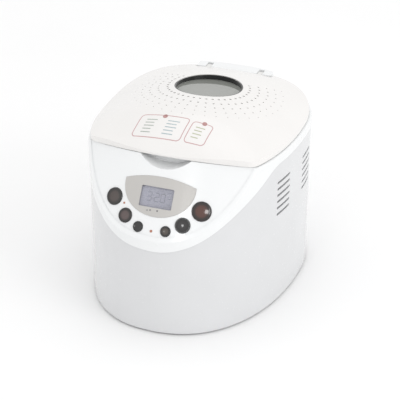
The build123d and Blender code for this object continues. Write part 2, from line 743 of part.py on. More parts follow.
def make_window_bezel():
    """Dark liner tube of the window, from the cover down to the pane and the inner glass."""
    tube = window_prism(-0.1, 253.2, 320) - window_prism(-2.2, 250, 330) - above_dome(0.8)
    seat = window_prism(-2.2, 250, 330) - window_prism(-5.0, 250, 330)
    cut = Pos(0, WINDOW_Y, PANE_Z) * Rot(-PANE_SLOPE, 0, 0) * block((-90, -90, -6.2), (90, 90, -3.2))
    return tube + (seat & cut)


def make_window_pane():
    slab = Pos(0, WINDOW_Y, PANE_Z) * Rot(-PANE_SLOPE, 0, 0) * block((-90, -90, -3.1), (90, 90, 0))
    return window_prism(-2.35, 250, 330) & slab


LINER = (208.0, 160.0)
LINER_BOTTOM = 247.0


def make_lid_liner():
    """Pressed inner lid: a flange under the cover and a plug that closes the chamber."""
    flange = rounded_block((231, 174), 34, 257.0, ARM_FOOT)
    plug = rounded_block(LINER, 24, LINER_BOTTOM, ARM_FOOT)
    plug -= rounded_block((LINER[0] - 2, LINER[1] - 2), 23, LINER_BOTTOM + 1, 260)
    liner = plug + (flange - rounded_block(LINER, 24, 250, 260))
    liner -= window_prism(-8.0, 240, 260)
    return liner - [post(x, y, 1.6, 240, 260) for x, y in LID_SCREWS]


def make_inner_glass():
    return window_prism(-3.0, LINER_BOTTOM + 1, LINER_BOTTOM + 4.5)


def make_glass_gasket():
    outer = window_prism(0.5, LINER_BOTTOM + 1, LINER_BOTTOM + 6.0)
    outer -= window_prism(-3.0, LINER_BOTTOM, LINER_BOTTOM + 4.5)
    return outer - window_prism(-7.0, LINER_BOTTOM, LINER_BOTTOM + 8)


def make_hinge_arm(side):
    """An arm screwed under the lid that turns round the hinge pin."""
    x = side * ARM_X
    half = ARM_WIDTH / 2
    arm = block((x - half, 130, ARM_FOOT), (x + half, HINGE_Y, HINGE_Z + 3.8))
    arm += Pos(x, HINGE_Y, HINGE_Z) * Rot(0, 90, 0) * Cylinder(3.9, ARM_WIDTH)
    return arm - Pos(x, HINGE_Y, HINGE_Z) * Rot(0, 90, 0) * Cylinder(PIN_RADIUS + RUNNING_GAP, 30)


def make_hinge_pin(side):
    return Pos(side * ARM_X, HINGE_Y, HINGE_Z) * Rot(0, 90, 0) * Cylinder(PIN_RADIUS, 22)


# ---------------------------------------------------------------- bread pan


def pan_taper(inset, bottom, top):
    """The pan's tapered block, drawn inwards by inset, between two heights."""
    sections = []
    for z in (bottom, top):
        part = (z - PAN_BASE_Z) / (PAN_RIM_Z - PAN_BASE_Z)
        length = PAN_FLOOR[0] + (PAN_TOP[0] - PAN_FLOOR[0]) * part - 2 * inset
        width = PAN_FLOOR[1] + (PAN_TOP[1] - PAN_FLOOR[1]) * part - 2 * inset
        sections.append(Pos(0, PAN_Y, z) * RectangleRounded(length, width, 24 - inset))
    return loft(sections)


def make_bread_pan():
    pan = pan_taper(0, PAN_BASE_Z, PAN_RIM_Z)
    pan = fillet(pan.edges().group_by(Axis.Z)[0], 5.0)
    inner = pan_taper(PAN_SHEET, PAN_BASE_Z + PAN_SHEET, PAN_RIM_Z + 2)
    inner = fillet(inner.edges().group_by(Axis.Z)[0], 3.5)
    pan -= inner
    rim = rounded_block((PAN_TOP[0] + 5, PAN_TOP[1] + 5), 26.5, PAN_RIM_Z - 3, PAN_RIM_Z)
    pan += rim - pan_taper(PAN_SHEET, PAN_RIM_Z - 10, PAN_RIM_Z + 4)
    return pan - post(0, PAN_Y, 8.0, 80, 100)


def make_pan_base_ring():
    """Foot of the pan, which drops into the socket on the chamber floor."""
    foot = ring(0, PAN_Y, 46.0, 43.5, 68.0, PAN_BASE_Z)
    flange = ring(0, PAN_Y, 52.0, 43.5, PAN_BASE_Z - 2, PAN_BASE_Z)
    return foot + flange


def make_pan_bush():
    """Bearing bush of the paddle shaft, sealed in the pan's floor."""
    floor = PAN_BASE_Z + PAN_SHEET
    body = ring(0, PAN_Y, 8.0, 4.0 + RUNNING_GAP, 82.0, floor + 4)
    body += ring(0, PAN_Y, 12.0, 4.0 + RUNNING_GAP, PAN_BASE_Z - 2.5, PAN_BASE_Z)
    return body + ring(0, PAN_Y, 11.0, 4.0 + RUNNING_GAP, floor, floor + 2)


def make_pan_shaft():
    shaft = post(0, PAN_Y, 4.0, 74.5, 112.0)
    return shaft - block((2.6, PAN_Y - 5, 96), (5, PAN_Y + 5, 113))


def make_wing_coupling():
    hub = ring(0, PAN_Y, 9.0, 4.0, 77.0, 81.6)
    hub += wings(8.0, 19.0, 2.5, 77.0, 81.6, False)
    return hub + wings(14.0, 19.0, 2.5, 69.0, 81.6, False)


def make_kneading_paddle():
    """A hub with one swept blade."""
    hub = ring(0, PAN_Y, 8.5, 4.0, 95.0, 113.0)
    hub -= block((-9, PAN_Y - 9, 112.0), (9, PAN_Y + 9, 120.0))
    hub += post(0, PAN_Y, 8.5, 112.0, 114.0)
    hub += block((2.7, PAN_Y - 3, 96.0), (5.0, PAN_Y + 3, 112.0))
    root = Pos(0, PAN_Y, 0) * block((6, -2.5, 95.0), (44, 2.5, 124.0))
    curve = Pos(44, PAN_Y, 95) * Rot(90, 0, 0) * Cylinder(58, 20)
    blade = fillet(root.edges().filter_by(Axis.Y).sort_by(Axis.X)[-2:], 8.0) - Pos(0, 0, 80) * curve
    return hub + blade


def make_bail_lug(side):
    """Pivot bracket of the carrying handle, riveted to the pan's wall."""
    near = PAN_TOP[0] / 2 - 0.4
    plate = block((near, PAN_Y - 8, BAIL_Z - 8), (near + 1.6, PAN_Y + 8, BAIL_Z + 6.5))
    pin = Pos(BAIL_X, PAN_Y, BAIL_Z) * Rot(0, 90, 0) * Cylinder(2.2, 6.0)
    head = Pos(BAIL_X + 3.6, PAN_Y, BAIL_Z) * Rot(0, 90, 0) * Cylinder(3.4, 1.2)
    lug = plate + pin + head
    return lug if side > 0 else mirror(lug, Plane.YZ)


def make_pan_handle():
    """Wire bail that folds down over the front of the pan."""
    span = BAIL_X + 1.2
    path = FilletPolyline((-span, 0), (-span, -35), (span, -35), (span, 0), radius=12.0)
    path = Pos(0, PAN_Y, 0) * path
    wire = sweep(Plane(origin=path @ 0, z_dir=path % 0) * Circle(1.9), path)
    handle = Pos(0, 0, BAIL_Z + 13) * wire
    for side in (-1, 1):
        x = side * span
        eye = Pos(x, PAN_Y, BAIL_Z) * Rot(0, 90, 0) * Cylinder(5.0, 2.6)
        drop = block((x - 1.3, PAN_Y - 4.5, BAIL_Z), (x + 1.3, PAN_Y + 1.5, BAIL_Z + 14))
        handle += eye + drop
        handle -= Pos(x, PAN_Y, BAIL_Z) * Rot(0, 90, 0) * Cylinder(2.2 + RUNNING_GAP, 8)
    return handle


# ---------------------------------------------------------------- assembly


def save_casings():
    smile = below_smile()
    save("lower_casing", make_lower_casing(smile))
    save("upper_casing", make_upper_casing(smile))
    save("base_plate", make_base_plate())
    save("feet", *[make_foot(x, y) for x, y in FEET])
    save("base_screws", *[make_screw(x, y, 4.5, 12.0) for x, y in CASING_POSTS])
    save("hinge_pins", make_hinge_pin(-1), make_hinge_pin(1))
    save("cord_gland", make_cord_gland())


def save_controls():
    save("display_bezel", make_display_bezel())
    save("display_lens", make_display_lens())
    save("lcd_module", make_lcd_module())
    save("control_board", make_control_board())
    save("tact_switches", *[make_switch(x, v) for _, x, v, _ in BUTTONS])
    save("indicator_lights", *[make_indicator(*light) for light in LIGHTS])
    save("ribbon_cable", make_ribbon_cable())
    for name, x, v, radius in BUTTONS:
        save(name, make_button(x, v, radius))


def save_chamber():
    save("oven_chamber", make_oven_chamber())
    save("heating_element", make_heating_element())
    side = ELEMENT_LOOP[0] / 2
    front = ELEMENT_LOOP[1] / 2
    places = [(-55, PAN_Y - front), (55, PAN_Y - front), (-55, PAN_Y + front), (55, PAN_Y + front)]
    save("element_brackets", *[make_element_bracket(x, y) for x, y in places])
    save("temperature_probe", make_temperature_probe())
    save("thermal_fuse", make_thermal_fuse())
    save("heat_shield", make_heat_shield())
    save("pan_socket", make_pan_socket())


def save_drive():
    save("chassis", make_chassis())
    heads = CHASSIS_Z
    save("chassis_screws", *[make_screw(x, y, heads, 5.0) for x, y in HOUSING_SCREWS + MOTOR_SCREWS])
    save("spindle_housing", make_spindle_housing())
    save("spindle_bushes", make_spindle_bush(27.0), make_spindle_bush(51.5))
    save("drive_spindle", make_drive_spindle())
    save("drive_dog", make_drive_dog())
    save("large_pulley", make_large_pulley())
    save("small_pulley", make_small_pulley())
    save("drive_belt", make_drive_belt())
    save("motor_stator", make_motor_stator())
    top = STACK_BOTTOM + STACK_HEIGHT
    lower_frame = make_motor_frame(MOTOR_FOOT, MOTOR_FOOT, STACK_BOTTOM)
    save("motor_end_frames", lower_frame, make_motor_frame(top, top + 9, top + 13))
    save("motor_rotor", make_motor_rotor())
    save("cooling_fan", make_cooling_fan())
    save("motor_capacitor", make_motor_capacitor())
    save("power_board", make_power_board())
    save("transformer", make_transformer())


def save_lid():
    save("lid_cover", make_lid_cover())
    save("window_bezel", make_window_bezel())
    save("window_pane", make_window_pane())
    save("lid_liner", make_lid_liner())
    save("inner_glass", make_inner_glass())
    save("glass_gasket", make_glass_gasket())
    save("hinge_arms", make_hinge_arm(-1), make_hinge_arm(1))
    save("lid_screws", *[make_screw(x, y, 257.0, 5.0, 3.2, 1.2) for x, y in LID_SCREWS])


def save_pan():
    save("bread_pan", make_bread_pan())
    save("pan_base_ring", make_pan_base_ring())
    save("pan_bush", make_pan_bush())
    save("pan_shaft", make_pan_shaft())
    save("wing_coupling", make_wing_coupling())
    save("kneading_paddle", make_kneading_paddle())
    save("bail_lugs", make_bail_lug(-1), make_bail_lug(1))
    save("pan_handle", make_pan_handle())


save_casings()
save_controls()
save_chamber()
save_drive()
save_lid()
save_pan()
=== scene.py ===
import math

import bmesh
import bpy
from mathutils import Matrix, Vector
from mathutils.bvhtree import BVHTree


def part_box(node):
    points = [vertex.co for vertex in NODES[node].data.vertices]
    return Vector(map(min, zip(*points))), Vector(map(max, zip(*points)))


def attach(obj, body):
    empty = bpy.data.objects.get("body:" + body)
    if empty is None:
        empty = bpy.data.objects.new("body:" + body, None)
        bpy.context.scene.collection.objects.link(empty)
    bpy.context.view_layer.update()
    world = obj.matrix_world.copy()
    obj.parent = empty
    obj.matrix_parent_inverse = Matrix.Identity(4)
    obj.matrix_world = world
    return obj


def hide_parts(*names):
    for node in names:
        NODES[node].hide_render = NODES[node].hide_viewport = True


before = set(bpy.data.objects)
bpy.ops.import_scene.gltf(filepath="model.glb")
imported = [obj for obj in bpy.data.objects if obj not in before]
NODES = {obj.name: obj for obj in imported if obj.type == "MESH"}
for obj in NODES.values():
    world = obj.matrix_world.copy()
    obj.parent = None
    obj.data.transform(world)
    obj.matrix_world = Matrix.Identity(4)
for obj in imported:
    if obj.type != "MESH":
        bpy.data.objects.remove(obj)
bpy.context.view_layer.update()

MM = 0.001

# The bowed control panel: the foot of its middle line, its slope, its bow and its depth under the rim
PANEL_ANGLE = math.radians(56.8)
PANEL_FOOT = Vector((0.0, -189.4, 157.8)) * MM
PANEL_BOW = 275.0 * MM
PANEL_SINK = 1.0 * MM

# A printed layer starts a little inside its surface
PRINT_THICKNESS = 0.12 * MM
PRINT_SINK = 0.3 * PRINT_THICKNESS
PRINT_BAR = 1.0 * MM

CAMERA_EYE = Vector((0.74455, -2.01171, 1.31310))
CAMERA_TARGET = Vector((-0.00176, 0.022419, 0.108943))
CAMERA_LENS = 145.97
CAMERA_SENSOR = 36.0

# ---------------------------------------------------------------- material building blocks


def new_material(name):
    material = bpy.data.materials.new(name)
    material.use_nodes = True
    tree = material.node_tree
    return material, tree, tree.nodes["Principled BSDF"]


def object_coordinates(tree, scale=(1.0, 1.0, 1.0), offset=(0.0, 0.0, 0.0)):
    coordinates = tree.nodes.new("ShaderNodeTexCoord")
    mapping = tree.nodes.new("ShaderNodeMapping")
    mapping.inputs["Scale"].default_value = scale
    mapping.inputs["Location"].default_value = offset
    tree.links.new(coordinates.outputs["Object"], mapping.inputs["Vector"])
    return mapping.outputs["Vector"]


def noise(tree, vector, scale, detail=3.0):
    texture = tree.nodes.new("ShaderNodeTexNoise")
    texture.inputs["Scale"].default_value = scale
    texture.inputs["Detail"].default_value = detail
    tree.links.new(vector, texture.inputs["Vector"])
    return texture.outputs["Fac"]


def ramp(tree, factor, stops):
    node = tree.nodes.new("ShaderNodeValToRGB")
    elements = node.color_ramp.elements
    while len(elements) < len(stops):
        elements.new(0.5)
    for element, (place, colour) in zip(elements, stops):
        element.position = place
        element.color = (*colour, 1.0)
    tree.links.new(factor, node.inputs["Fac"])
    return node.outputs["Color"]


def spread(tree, factor, low, high):
    """Stretches the middle of a noise factor to the range from low to high."""
    node = tree.nodes.new("ShaderNodeMapRange")
    node.inputs["From Min"].default_value = 0.3
    node.inputs["From Max"].default_value = 0.7
    node.inputs["To Min"].default_value = low
    node.inputs["To Max"].default_value = high
    tree.links.new(factor, node.inputs["Value"])
    return node.outputs["Result"]


def bump(tree, shader, height, distance):
    node = tree.nodes.new("ShaderNodeBump")
    node.inputs["Strength"].default_value = 1.0
    node.inputs["Distance"].default_value = distance
    tree.links.new(height, node.inputs["Height"])
    tree.links.new(node.outputs["Normal"], shader.inputs["Normal"])


def shade(colour, factor):
    return tuple(min(1.0, c * factor) for c in colour)


def surface(name, colour, rough, metal=0.0, coat=0.0, vary=0.04, patch=9.0, grain=900.0,
            depth=4e-6, stretch=(1.0, 1.0, 1.0)):
    """A finish whose colour, roughness and fine relief all vary a little over the surface."""
    material, tree, shader = new_material(name)
    patches = noise(tree, object_coordinates(tree), patch)
    stops = [(0.3, shade(colour, 1.0 - vary)), (0.7, shade(colour, 1.0 + vary))]
    tree.links.new(ramp(tree, patches, stops), shader.inputs["Base Color"])
    fine = noise(tree, object_coordinates(tree, stretch), grain, 4.0)
    tree.links.new(spread(tree, fine, rough * 0.85, rough * 1.15), shader.inputs["Roughness"])
    bump(tree, shader, fine, depth)
    shader.inputs["Metallic"].default_value = metal
    shader.inputs["Coat Weight"].default_value = coat
    shader.inputs["Coat Roughness"].default_value = 0.06
    return material


def moulded_plastic(name, colour, rough=0.24, coat=0.35):
    """Glossy injection-moulded plastic with a faint orange peel."""
    return surface(name, colour, rough, coat=coat, vary=0.012, patch=14.0, grain=340.0, depth=5e-6)


def matt_plastic(name, colour, rough=0.55):
    return surface(name, colour, rough, vary=0.06, grain=1800.0, depth=2e-5)


def brushed_metal(name, colour, rough=0.32, along="x"):
    stretch = {"x": (0.04, 1.0, 1.0), "y": (1.0, 0.04, 1.0), "z": (1.0, 1.0, 0.04)}[along]
    return surface(name, colour, rough, metal=1.0, vary=0.08, grain=2400.0, depth=4e-6, stretch=stretch)


def cast_metal(name, colour, rough=0.45):
    return surface(name, colour, rough, metal=1.0, vary=0.08, patch=40.0, grain=700.0, depth=5e-5)


def rubber(name, colour=(0.035, 0.035, 0.038)):
    return surface(name, colour, 0.7, vary=0.12, patch=60.0, grain=1500.0, depth=3e-5)


def coated(name, colour=(0.045, 0.045, 0.05)):
    """Dark non-stick coat with fine pale specks."""
    material, tree, shader = new_material(name)
    speck = (0.22, 0.22, 0.23)
    specks = noise(tree, object_coordinates(tree), 950.0, 2.0)
    stops = [(0.0, colour), (0.64, shade(colour, 1.2)), (0.70, speck)]
    tree.links.new(ramp(tree, specks, stops), shader.inputs["Base Color"])
    worn = noise(tree, object_coordinates(tree), 25.0)
    tree.links.new(spread(tree, worn, 0.3, 0.45), shader.inputs["Roughness"])
    bump(tree, shader, noise(tree, object_coordinates(tree), 500.0), 1.5e-5)
    shader.inputs["Metallic"].default_value = 0.25
    return material


def circuit_board(name, colour):
    """Solder mask over fine copper tracks."""
    material, tree, shader = new_material(name)
    tracks = tree.nodes.new("ShaderNodeTexBrick")
    tracks.inputs["Scale"].default_value = 160.0
    tracks.inputs["Mortar Size"].default_value = 0.03
    tracks.inputs["Color1"].default_value = (*colour, 1.0)
    tracks.inputs["Color2"].default_value = (*shade(colour, 0.8), 1.0)
    tracks.inputs["Mortar"].default_value = (*shade(colour, 2.2), 1.0)
    tree.links.new(object_coordinates(tree), tracks.inputs["Vector"])
    tree.links.new(tracks.outputs["Color"], shader.inputs["Base Color"])
    bump(tree, shader, tracks.outputs["Fac"], 4e-5)
    shader.inputs["Roughness"].default_value = 0.35
    return material


def tinted_glass(name, colour, alpha):
    """See-through glass whose tint and faint smears vary over the pane."""
    material, tree, shader = new_material(name)
    rough = 0.04
    clouds = noise(tree, object_coordinates(tree), 11.0)
    stops = [(0.35, shade(colour, 0.97)), (0.65, shade(colour, 1.03))]
    tree.links.new(ramp(tree, clouds, stops), shader.inputs["Base Color"])
    tree.links.new(spread(tree, clouds, rough * 0.8, rough * 1.3), shader.inputs["Roughness"])
    shader.inputs["Alpha"].default_value = alpha
    shader.inputs["Coat Weight"].default_value = 0.5
    return material


def element_sheath(name):
    """Heater tube, straw to blue-brown where it has been hot."""
    material, tree, shader = new_material(name)
    heat = noise(tree, object_coordinates(tree), 18.0, 5.0)
    stops = [(0.3, (0.16, 0.13, 0.12)), (0.55, (0.24, 0.18, 0.13)), (0.75, (0.15, 0.16, 0.22))]
    tree.links.new(ramp(tree, heat, stops), shader.inputs["Base Color"])
    tree.links.new(spread(tree, heat, 0.35, 0.6), shader.inputs["Roughness"])
    bump(tree, shader, noise(tree, object_coordinates(tree), 900.0), 2e-5)
    shader.inputs["Metallic"].default_value = 1.0
    return material


def windings(name, top, bottom):
    """Laminated stack between two heights, copper windings above and below it."""
    material, tree, shader = new_material(name)
    overhang = 10.0 * MM
    split = tree.nodes.new("ShaderNodeSeparateXYZ")
    tree.links.new(object_coordinates(tree), split.inputs["Vector"])
    span = tree.nodes.new("ShaderNodeMapRange")
    span.inputs["From Min"].default_value = bottom - overhang
    span.inputs["From Max"].default_value = top + overhang
    tree.links.new(split.outputs["Z"], span.inputs["Value"])
    copper, steel = (0.55, 0.22, 0.08), (0.12, 0.12, 0.13)
    edge = overhang / (top - bottom + 2.0 * overhang)
    stops = [(0.0, copper), (edge, steel), (1.0 - edge, copper)]
    colours = ramp(tree, span.outputs["Result"], stops)
    colours.node.color_ramp.interpolation = "CONSTANT"
    tree.links.new(colours, shader.inputs["Base Color"])
    bump(tree, shader, noise(tree, object_coordinates(tree, (0.05, 0.05, 1.0)), 3000.0), 8e-5)
    shader.inputs["Metallic"].default_value = 0.8
    shader.inputs["Roughness"].default_value = 0.42
    return material


def liquid_crystal(name, colour):
    """Screen film: a grey-violet field with a soft gradient and a barely visible pixel grid."""
    material, tree, shader = new_material(name)
    clouds = noise(tree, object_coordinates(tree), 22.0, 1.0)
    stops = [(0.3, shade(colour, 0.93)), (0.7, shade(colour, 1.06))]
    tree.links.new(ramp(tree, clouds, stops), shader.inputs["Base Color"])
    grid = tree.nodes.new("ShaderNodeTexBrick")
    grid.inputs["Scale"].default_value = 900.0
    tree.links.new(object_coordinates(tree), grid.inputs["Vector"])
    bump(tree, shader, grid.outputs["Fac"], 1e-5)
    shader.inputs["Roughness"].default_value = 0.3
    return material


def button_gloss_painted_reflection(name, centre, middle_with_painted_reflection, rim, radius):
    """Glossy cap whose colour is painted lighter in its middle, a painted reflection, and darker towards
    its rim, painted shade.
    """
    material, tree, shader = new_material(name)
    place = object_coordinates(tree, offset=tuple(-c for c in centre))
    distance = tree.nodes.new("ShaderNodeVectorMath")
    distance.operation = "LENGTH"
    tree.links.new(place, distance.inputs[0])
    reach = tree.nodes.new("ShaderNodeMapRange")
    reach.inputs["From Max"].default_value = radius
    tree.links.new(distance.outputs["Value"], reach.inputs["Value"])
    # Painted light: the lighter middle stands for a reflection and the darker rim for shade
    stops = [(0.0, middle_with_painted_reflection), (0.5, shade(middle_with_painted_reflection, 0.9)), (0.78, rim)]
    tree.links.new(ramp(tree, reach.outputs["Result"], stops), shader.inputs["Base Color"])
    fine = noise(tree, object_coordinates(tree), 400.0)
    tree.links.new(spread(tree, fine, 0.1, 0.14), shader.inputs["Roughness"])
    bump(tree, shader, fine, 2e-6)
    shader.inputs["Coat Weight"].default_value = 0.6
    return material


def ink(name, colour):
    """Slightly uneven printing ink."""
    return surface(name, colour, 0.4, vary=0.08, patch=300.0, grain=2500.0, depth=4e-6)


# ---------------------------------------------------------------- shapes laid on a surface


class Host:
    """Finds the point of a CAD node, and its outward normal, along a direction from a place beside it."""

    def __init__(self, node, start, direction):
        mesh = bmesh.new()
        mesh.from_mesh(NODES[node].data)
        self.tree = BVHTree.FromBMesh(mesh)
        mesh.free()
        self.start = start
        self.direction = direction

    def place(self, u, v):
        direction = self.direction(u, v)
        hit, normal, _, _ = self.tree.ray_cast(self.start(u, v), direction)
        if normal.dot(direction) > 0:
            normal = -normal
        return hit, normal


def panel_normal(u):
    """The outward normal of the bowed panel, u across from its middle."""
    return Vector((u / PANEL_BOW, -1.0, 1.0 / math.tan(PANEL_ANGLE))).normalized()


def panel_point(u, v, proud=0.0):
    """A point of the bowed panel, u across and v up the slope, proud of it along the normal."""
    back = u * u / (2.0 * PANEL_BOW)
    point = PANEL_FOOT + Vector((u, v * math.cos(PANEL_ANGLE) + back, v * math.sin(PANEL_ANGLE)))
    return point + panel_normal(u) * (proud - PANEL_SINK)


def lid_host():
    return Host("lid_cover", lambda u, v: Vector((u, v, 0.5)), lambda u, v: Vector((0.0, 0.0, -1.0)))


def panel_host(node):
    return Host(node, lambda u, v: panel_point(u, v, 0.03), lambda u, v: -panel_normal(u))


def stroke_faces(points, width, closed=False):
    """Quads along a line of places, with mitred corners."""
    count = len(points)
    sides = []
    for i, point in enumerate(points):
        before = points[i - 1] if closed or i > 0 else point
        after = points[(i + 1) % count] if closed or i < count - 1 else point
        back = Vector(point) - Vector(before)
        ahead = Vector(after) - Vector(point)
        tangent = (back.normalized() + ahead.normalized()).normalized()
        side = Vector((-tangent.y, tangent.x)) * width / 2.0
        sides.append((Vector(point) + side, Vector(point) - side))
    faces = []
    for i in range(count if closed else count - 1):
        near, far = sides[i], sides[(i + 1) % count]
        faces.append([near[0], near[1], far[1], far[0]])
    return faces


def line(start, end, step=2.0 * MM):
    """Places along a straight line, at most a step apart."""
    a, b = Vector(start), Vector(end)
    count = max(1, math.ceil((b - a).length / step))
    return [tuple(a.lerp(b, i / count)) for i in range(count + 1)]


def rounded_frame(low, high, radius, lean):
    """A closed line round a rounded rectangle whose top leans sideways by lean."""
    centres = [(high[0] - radius, low[1] + radius, -90), (high[0] - radius, high[1] - radius, 0),
               (low[0] + radius, high[1] - radius, 90), (low[0] + radius, low[1] + radius, 180)]
    corners = []
    for x, y, start in centres:
        for part in range(6):
            angle = math.radians(start + 18 * part)
            corners.append((x + radius * math.cos(angle), y + radius * math.sin(angle)))
    points = []
    for i, corner in enumerate(corners):
        following = corners[(i + 1) % len(corners)]
        points += line(corner, following, 2.5 * MM)[:-1]
    height = high[1] - low[1]
    return [(x + lean * (y - low[1]) / height, y) for x, y in points]


def disc_faces(centre, radius, sides=32):
    """Rings of quads and a middle fan that fill a disc."""
    faces = []
    rings = [radius * part / 3.0 for part in range(4)]
    for i in range(sides):
        first, second = 2 * math.pi * i / sides, 2 * math.pi * (i + 1) / sides
        for inner, outer in zip(rings, rings[1:]):
            corners = ((inner, first), (outer, first), (outer, second), (inner, second))
            quad = [Vector((centre[0] + r * math.cos(a), centre[1] + r * math.sin(a))) for r, a in corners]
            faces.append(quad if inner > 0 else quad[:3])
    return faces


def rounded(place):
    """A place as a key that its copies share."""
    return tuple(round(c, 7) for c in place)


def printed(name, faces, host, material, body):
    """A thin closed layer with the given outline, wrapped onto the host's surface."""
    mesh = bmesh.new()
    normals = {}
    for face in faces:
        corners = []
        for u, v in face:
            point, normal = host.place(u, v)
            vertex = mesh.verts.new(point - normal * PRINT_SINK)
            normals[vertex] = normal
            corners.append(vertex)
        mesh.faces.new(corners)
    offsets = {rounded(vertex.co): normal for vertex, normal in normals.items()}
    usual = next(iter(offsets.values()))
    bmesh.ops.remove_doubles(mesh, verts=mesh.verts, dist=2e-6)
    grown = bmesh.ops.extrude_face_region(mesh, geom=mesh.faces[:])
    for item in grown["geom"]:
        if isinstance(item, bmesh.types.BMVert):
            item.co += offsets.get(rounded(item.co), usual) * (PRINT_THICKNESS + PRINT_SINK)
    bmesh.ops.recalc_face_normals(mesh, faces=mesh.faces)
    return finish_piece(name, mesh, material, body)


def finish_piece(name, mesh, material, body, smooth=False):
    """Makes an object of the mesh, riding a body and filling one of its material slots."""
    data = bpy.data.meshes.new(name)
    mesh.to_mesh(data)
    mesh.free()
    data.materials.append(material)
    if smooth:
        data.shade_smooth()
    piece = bpy.data.objects.new(name, data)
    bpy.context.scene.collection.objects.link(piece)
    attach(piece, body)
    return piece


# ---------------------------------------------------------------- finishes of the CAD nodes


def node_finishes():
    """The finish of every CAD node, by name."""
    low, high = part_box("motor_stator")
    steel = (0.62, 0.62, 0.63)
    finishes = {
        "lower_casing": moulded_plastic("casing_white", (0.675, 0.68, 0.69)),
        "upper_casing": moulded_plastic("fascia_white", (0.83, 0.84, 0.845)),
        "lid_cover": moulded_plastic("lid_white", (0.815, 0.80, 0.785)),
        "base_plate": matt_plastic("base_grey", (0.16, 0.16, 0.17)),
        "feet": rubber("foot_rubber"),
        "cord_gland": rubber("gland_rubber"),
        "display_bezel": surface("bezel_silver", (0.52, 0.505, 0.485), 0.38, metal=0.25, coat=0.1,
                                 vary=0.02, grain=1600.0, depth=5e-6, stretch=(1.0, 0.06, 0.06)),
        "display_lens": tinted_glass("screen_cover", (0.75, 0.76, 0.82), 0.16),
        "lcd_module": liquid_crystal("screen_film", (0.30, 0.30, 0.375)),
        "control_board": circuit_board("control_board_green", (0.03, 0.16, 0.07)),
        "power_board": circuit_board("power_board_tan", (0.25, 0.15, 0.05)),
        "tact_switches": matt_plastic("switch_black", (0.04, 0.04, 0.045)),
        "indicator_lights": moulded_plastic("lamp_amber", (0.42, 0.18, 0.12), 0.15),
        "ribbon_cable": surface("ribbon_grey", (0.42, 0.43, 0.46), 0.5, vary=0.1, grain=1600.0,
                                depth=1e-4, stretch=(1.0, 0.02, 0.02)),
        "oven_chamber": brushed_metal("chamber_steel", (0.46, 0.46, 0.47), 0.4, "z"),
        "heating_element": element_sheath("heater_sheath"),
        "element_brackets": brushed_metal("bracket_steel", steel),
        "temperature_probe": brushed_metal("probe_steel", steel, 0.3, "y"),
        "thermal_fuse": cast_metal("fuse_tin", (0.7, 0.68, 0.64)),
        "heat_shield": brushed_metal("shield_steel", (0.55, 0.56, 0.58), 0.4),
        "pan_socket": cast_metal("socket_aluminium", (0.58, 0.58, 0.59)),
        "chassis": brushed_metal("chassis_steel", (0.56, 0.57, 0.59), 0.42, "y"),
        "spindle_housing": cast_metal("housing_aluminium", (0.52, 0.52, 0.53)),
        "spindle_bushes": cast_metal("bush_bronze", (0.55, 0.36, 0.16), 0.35),
        "pan_bush": cast_metal("pan_bush_bronze", (0.55, 0.36, 0.16), 0.35),
        "drive_spindle": brushed_metal("spindle_steel", steel, 0.25, "z"),
        "drive_dog": cast_metal("dog_aluminium", (0.5, 0.5, 0.52)),
        "wing_coupling": cast_metal("coupling_aluminium", (0.5, 0.5, 0.52)),
        "pan_base_ring": cast_metal("pan_foot_aluminium", (0.56, 0.56, 0.57)),
        "large_pulley": matt_plastic("pulley_black", (0.05, 0.05, 0.055)),
        "small_pulley": matt_plastic("pinion_black", (0.05, 0.05, 0.055)),
        "drive_belt": rubber("belt_rubber", (0.025, 0.025, 0.027)),
        "motor_stator": windings("stator_windings", high.z - 7 * MM, low.z + 7 * MM),
        "motor_end_frames": cast_metal("motor_frame_zinc", (0.6, 0.6, 0.61)),
        "motor_rotor": brushed_metal("rotor_steel", steel, 0.3, "z"),
        "cooling_fan": matt_plastic("fan_black", (0.06, 0.06, 0.065)),
        "motor_capacitor": brushed_metal("capacitor_can", (0.68, 0.68, 0.7), 0.35, "z"),
        "transformer": surface("transformer_laminations", (0.14, 0.13, 0.13), 0.5, metal=0.7,
                               vary=0.15, grain=1800.0, depth=8e-5, stretch=(1.0, 0.03, 0.03)),
        "window_bezel": moulded_plastic("bezel_black", (0.012, 0.012, 0.013), 0.22),
        "window_pane": tinted_glass("window_glass", (0.31, 0.32, 0.295), 0.82),
        "inner_glass": tinted_glass("inner_glass", (0.65, 0.68, 0.66), 0.3),
        "glass_gasket": rubber("gasket_rubber", (0.1, 0.1, 0.1)),
        "lid_liner": brushed_metal("liner_aluminium", (0.66, 0.66, 0.67), 0.42, "x"),
        "hinge_arms": moulded_plastic("arm_white", (0.76, 0.755, 0.74), 0.35),
        "bread_pan": coated("pan_coat"),
        "kneading_paddle": coated("paddle_coat", (0.05, 0.05, 0.052)),
        "pan_shaft": brushed_metal("pan_shaft_steel", steel, 0.25, "z"),
        "bail_lugs": brushed_metal("lug_steel", steel, 0.35, "z"),
        "pan_handle": brushed_metal("bail_steel", (0.68, 0.68, 0.69), 0.22, "x"),
    }
    for node in ("base_screws", "hinge_pins", "chassis_screws", "lid_screws"):
        finishes[node] = brushed_metal(node + "_steel", steel, 0.3, "z")
    return finishes


def dress_nodes():
    for node, material in node_finishes().items():
        data = NODES[node].data
        data.materials.clear()
        data.materials.append(material)
